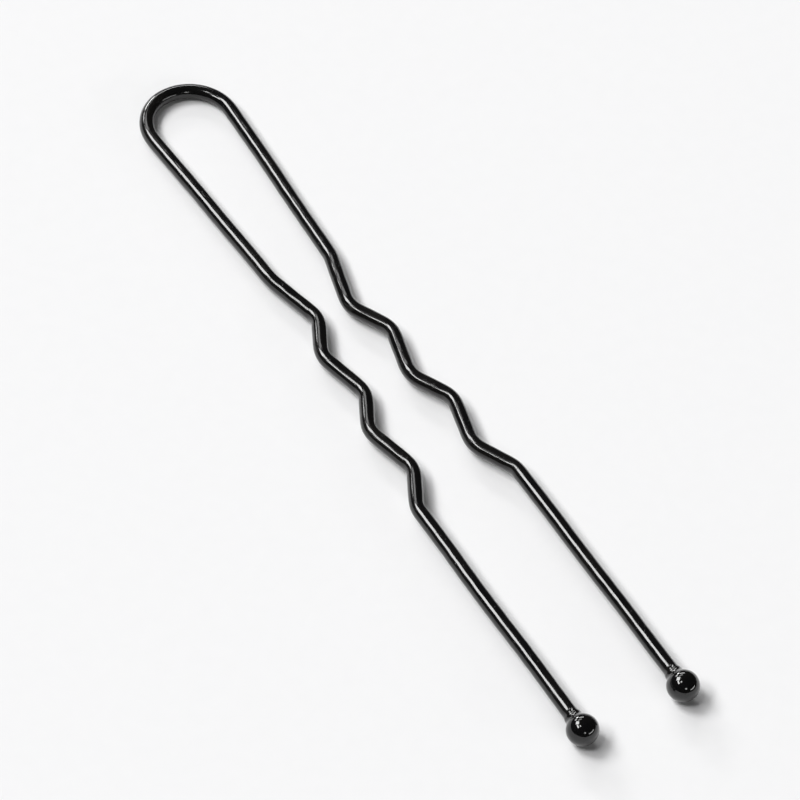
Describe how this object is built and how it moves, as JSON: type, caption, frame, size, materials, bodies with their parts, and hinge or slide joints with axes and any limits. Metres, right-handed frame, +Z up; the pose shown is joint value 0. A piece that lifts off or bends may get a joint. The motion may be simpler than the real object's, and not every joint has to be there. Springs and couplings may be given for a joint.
{
  "type": "u-shaped hairpin",
  "caption": "U-shaped hairpin of bent spring wire with wavy legs and a small ball over each wire end; the legs spring apart and together.",
  "frame": {"origin": "under the middle of the pin's outline, on the surface that its two balls rest on", "axes": "the pin lies flat: +X across the legs from left to right, +Y from the tips to the crown, +Z up, square to the plane of the bent wire"},
  "size_m": [0.0094, 0.0602, 0.0021],
  "materials": {
    "enamelled_wire": "gloss",
    "ball_lacquer": "gloss"
  },
  "bodies": {
    "crown": {"crown": "enamelled_wire"},
    "left_leg": {"left_leg": "enamelled_wire", "left_tip": "ball_lacquer"},
    "right_leg": {"right_leg": "enamelled_wire", "right_tip": "ball_lacquer"}
  },
  "joints": [
    {"name": "right_leg_flex", "type": "hinge", "parent": "crown", "child": "right_leg", "pos_m": [0.00274, 0.02122, 0.00105], "axis": [0, 0, 1], "range_deg": [-2.5, 10], "stiffness_Nm_per_rad": 0.236},
    {"name": "left_leg_flex", "type": "hinge", "parent": "crown", "child": "left_leg", "pos_m": [-0.00274, 0.02122, 0.00105], "axis": [0, 0, -1], "range_deg": [-2.5, 10], "stiffness_Nm_per_rad": 0.236}
  ],
  "couplings": [
    {"joint": "left_leg_flex", "follows": "right_leg_flex", "ratio": 1}
  ]
}
